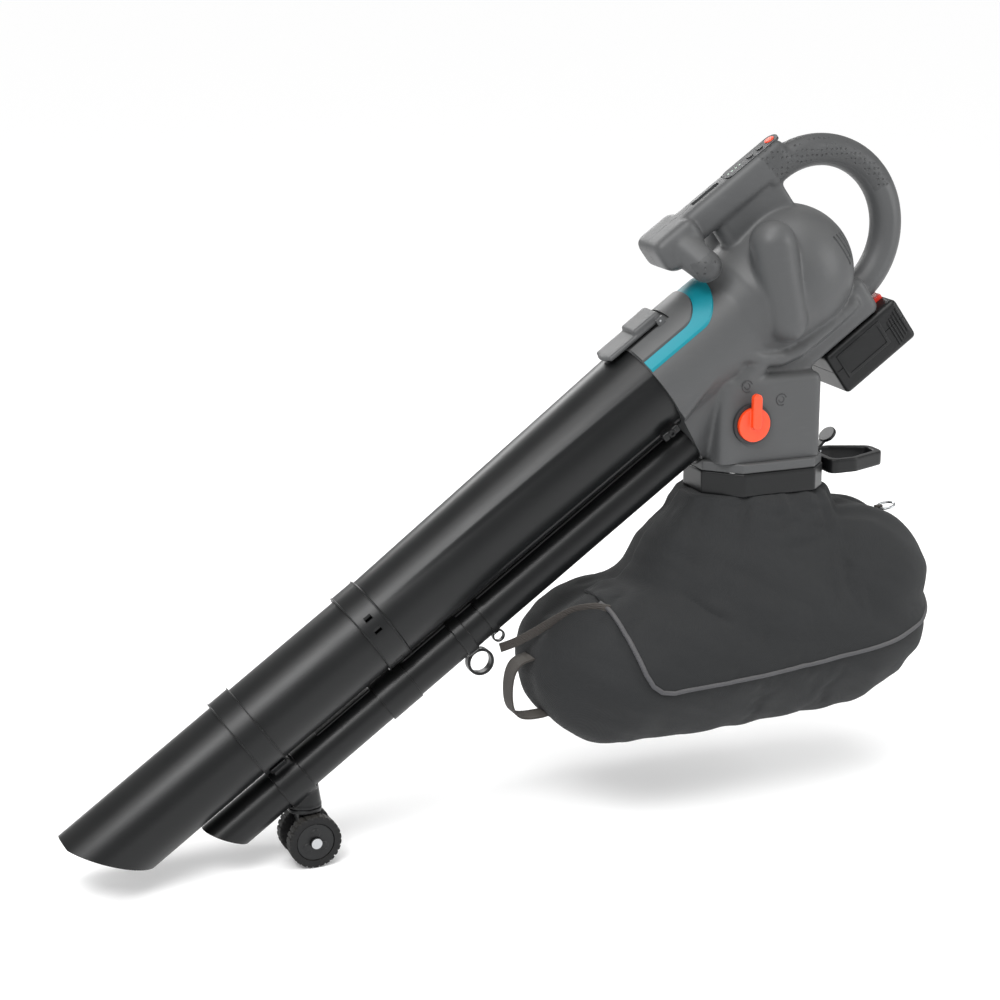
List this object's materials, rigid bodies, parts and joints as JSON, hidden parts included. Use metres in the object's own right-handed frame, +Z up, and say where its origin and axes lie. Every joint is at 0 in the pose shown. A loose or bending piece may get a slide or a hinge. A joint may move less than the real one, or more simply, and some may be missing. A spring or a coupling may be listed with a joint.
{
  "type": "leaf vacuum mulcher",
  "caption": "Cordless leaf vacuum and blower with a straight suction tube, blow tube, guide wheels, loop handle, slide-on battery and hanging debris bag.",
  "frame": {"origin": "on the ground, under the middle of the tool's box, with the tubes at their working slope", "axes": "+X level, from the nozzles towards the rear handle; +Y towards the tool's left; +Z up"},
  "size_m": [1.1323, 0.2595, 0.8393],
  "materials": {
    "housing_grey": "fine moulded texture",
    "panel_dark": "satin",
    "status_lens": "clear lens over light",
    "turquoise_trim": "satin gloss",
    "tube_black": "satin moulded",
    "steel": "turned",
    "wheel_rubber": "treaded",
    "motor_aluminium": "machined",
    "copper_winding": "enamelled copper windings on steel",
    "inner_plastic": "plain moulded",
    "board_green": "lacquered board",
    "signal_orange": "satin gloss",
    "button_black": "soft touch",
    "battery_black": "textured moulded",
    "cell_sleeve": "shrink sleeve",
    "release_red": "satin gloss",
    "bag_fabric": "woven polyester",
    "webbing": "ribbed webbing"
  },
  "bodies": {
    "tool_body": {"housing_left": "housing_grey", "housing_right": "housing_grey", "control_panel": "panel_dark", "charge_lights": "status_lens", "trim_band": "turquoise_trim", "socket_cover": "housing_grey", "side_cover_left": "housing_grey", "side_cover_right": "housing_grey", "port_flange": "housing_grey", "upper_tube": "tube_black", "middle_tube": "tube_black", "nozzle_tube": "tube_black", "blow_tube_upper": "tube_black", "blow_tube_lower": "tube_black", "tube_bridge": "tube_black", "shoulder_strap_eye": "tube_black", "bag_strap_eye": "tube_black", "motor_can": "motor_aluminium", "motor_stator": "copper_winding", "motor_mount": "inner_plastic", "front_bearing": "steel", "rear_bearing": "steel", "control_board": "board_green", "terminal_block": "panel_dark", "housing_screws": "steel", "latch_pin": "steel", "knob_ring": "panel_dark", "bag_strap": "webbing"},
    "rotor": {"motor_shaft": "steel", "rotor_core": "steel", "impeller": "motor_aluminium", "impeller_nut": "steel"},
    "mode_valve": {"mode_knob": "signal_orange", "mode_flap": "inner_plastic"},
    "power_button": {"power_button": "signal_orange"},
    "plus_button": {"plus_button": "button_black"},
    "minus_button": {"minus_button": "button_black"},
    "tube_latch": {"tube_latch": "panel_dark"},
    "battery": {"battery_base": "battery_black", "battery_top": "battery_black", "battery_cells": "cell_sleeve"},
    "battery_release": {"battery_release": "release_red"},
    "bag": {"bag_collar": "tube_black", "bag_ring_handle": "tube_black", "thumb_pin": "steel", "bag_body": "bag_fabric", "bag_flap": "bag_fabric", "bag_web_loop": "webbing", "ring_tab": "webbing"},
    "bag_thumb_latch": {"bag_thumb_latch": "tube_black"},
    "bag_hook_ring": {"bag_hook_ring": "steel"},
    "castor": {"wheel_fork": "tube_black", "wheel_axle": "steel"},
    "wheel_left": {"wheel_left": "wheel_rubber"},
    "wheel_right": {"wheel_right": "wheel_rubber"}
  },
  "joints": [
    {"name": "rotor_spin", "type": "hinge", "parent": "tool_body", "child": "rotor", "pos_m": [0.2178, 0, 0.57631], "axis": [0.8141, 0, 0.5807], "continuous": true},
    {"name": "mode_turn", "type": "hinge", "parent": "tool_body", "child": "mode_valve", "pos_m": [0.284, 0, 0.4995], "axis": [0, 1, 0], "range_deg": [0, 55]},
    {"name": "power_button_press", "type": "slide", "parent": "tool_body", "child": "power_button", "axis": [0.5807, 0, -0.8141], "range_m": [0, 0.0012], "stiffness_N_per_m": 400, "springref_m": -0.0005},
    {"name": "plus_button_press", "type": "slide", "parent": "tool_body", "child": "plus_button", "axis": [0.5807, 0, -0.8141], "range_m": [0, 0.0011], "stiffness_N_per_m": 400, "springref_m": -0.0005},
    {"name": "minus_button_press", "type": "slide", "parent": "tool_body", "child": "minus_button", "axis": [0.5807, 0, -0.8141], "range_m": [0, 0.0011], "stiffness_N_per_m": 400, "springref_m": -0.0005},
    {"name": "tube_latch_lift", "type": "hinge", "parent": "tool_body", "child": "tube_latch", "pos_m": [0.17314, 0, 0.62859], "axis": [0, 1, 0], "range_deg": [0, 10], "stiffness_Nm_per_rad": 0.6, "springref_deg": -5.73},
    {"name": "battery_slide", "type": "slide", "parent": "tool_body", "child": "battery", "axis": [0.8141, 0, 0.5807], "range_m": [0, 0.12]},
    {"name": "battery_release_press", "type": "slide", "parent": "battery", "child": "battery_release", "axis": [0.5807, 0, -0.8141], "range_m": [0, 0.003], "stiffness_N_per_m": 500, "springref_m": -0.001},
    {"name": "bag_drop", "type": "slide", "parent": "tool_body", "child": "bag", "axis": [0, 0, -1], "range_m": [0, 0.05]},
    {"name": "bag_thumb_press", "type": "hinge", "parent": "bag", "child": "bag_thumb_latch", "pos_m": [0.404, 0, 0.4446], "axis": [0, 1, 0], "range_deg": [0, 12], "stiffness_Nm_per_rad": 0.4, "springref_deg": -5.73},
    {"name": "hook_ring_swing", "type": "hinge", "parent": "bag", "child": "bag_hook_ring", "pos_m": [0.499, 0, 0.358], "axis": [0, 1, 0], "range_deg": [-60, 15]},
    {"name": "castor_swivel", "type": "hinge", "parent": "tool_body", "child": "castor", "pos_m": [-0.273, 0, 0.071], "axis": [0, 0, 1], "continuous": true},
    {"name": "wheel_left_roll", "type": "hinge", "parent": "castor", "child": "wheel_left", "pos_m": [-0.268, 0.0195, 0.0325], "axis": [0, 1, 0], "continuous": true},
    {"name": "wheel_right_roll", "type": "hinge", "parent": "castor", "child": "wheel_right", "pos_m": [-0.268, -0.0195, 0.0325], "axis": [0, 1, 0], "continuous": true}
  ]
}
